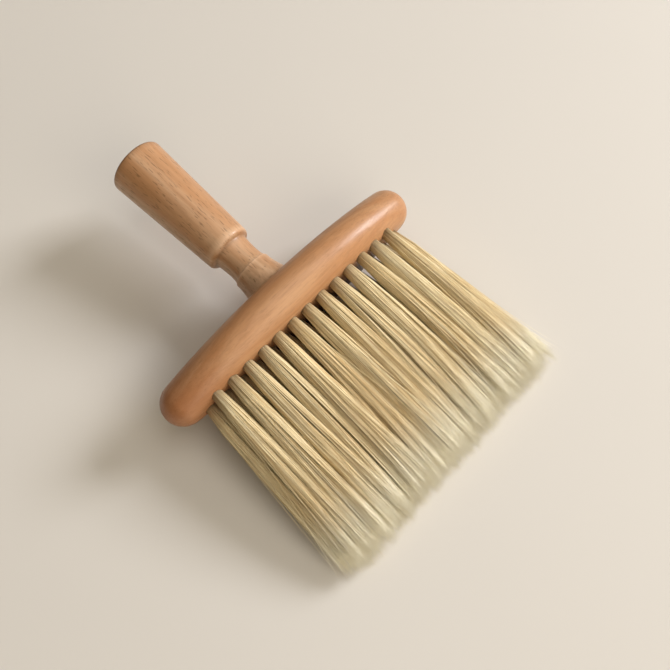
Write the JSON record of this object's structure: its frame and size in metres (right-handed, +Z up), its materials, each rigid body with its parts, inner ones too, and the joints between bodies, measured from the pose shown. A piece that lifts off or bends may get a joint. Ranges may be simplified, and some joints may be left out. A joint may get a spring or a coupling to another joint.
{
  "type": "body dry brush",
  "caption": "Wooden dry brush with an oval full-round stock, a turned handle square to its back and rows of long soft pale bristle tufts in drilled holes.",
  "frame": {"origin": "centre of the footprint of the brush as it lies on its side, on the surface it lies on", "axes": "+X along the stock, +Y towards the free end of the handle, +Z up"},
  "size_m": [0.15, 0.2027, 0.0496],
  "materials": {
    "stock_wood": "satin lacquer",
    "handle_wood": "satin lacquer",
    "bristle": "soft matt fibre",
    "anchor_steel": "flat drawn wire"
  },
  "bodies": {
    "root": {"stock": "stock_wood", "handle": "handle_wood", "anchors_upper": "anchor_steel", "anchors_middle": "anchor_steel", "anchors_lower": "anchor_steel", "tuft_upper_01": "bristle", "tuft_upper_02": "bristle", "tuft_upper_03": "bristle", "tuft_upper_04": "bristle", "tuft_upper_05": "bristle", "tuft_upper_06": "bristle", "tuft_upper_07": "bristle", "tuft_upper_08": "bristle", "tuft_upper_09": "bristle", "tuft_upper_10": "bristle", "tuft_upper_11": "bristle", "tuft_upper_12": "bristle", "tuft_upper_13": "bristle", "tuft_middle_01": "bristle", "tuft_middle_02": "bristle", "tuft_middle_03": "bristle", "tuft_middle_04": "bristle", "tuft_middle_05": "bristle", "tuft_middle_06": "bristle", "tuft_middle_07": "bristle", "tuft_middle_08": "bristle", "tuft_middle_09": "bristle", "tuft_middle_10": "bristle", "tuft_middle_11": "bristle", "tuft_middle_12": "bristle", "tuft_middle_13": "bristle", "tuft_middle_14": "bristle", "tuft_lower_01": "bristle", "tuft_lower_02": "bristle", "tuft_lower_03": "bristle", "tuft_lower_04": "bristle", "tuft_lower_05": "bristle", "tuft_lower_06": "bristle", "tuft_lower_07": "bristle", "tuft_lower_08": "bristle", "tuft_lower_09": "bristle", "tuft_lower_10": "bristle", "tuft_lower_11": "bristle", "tuft_lower_12": "bristle", "tuft_lower_13": "bristle"}
  },
  "joints": []
}
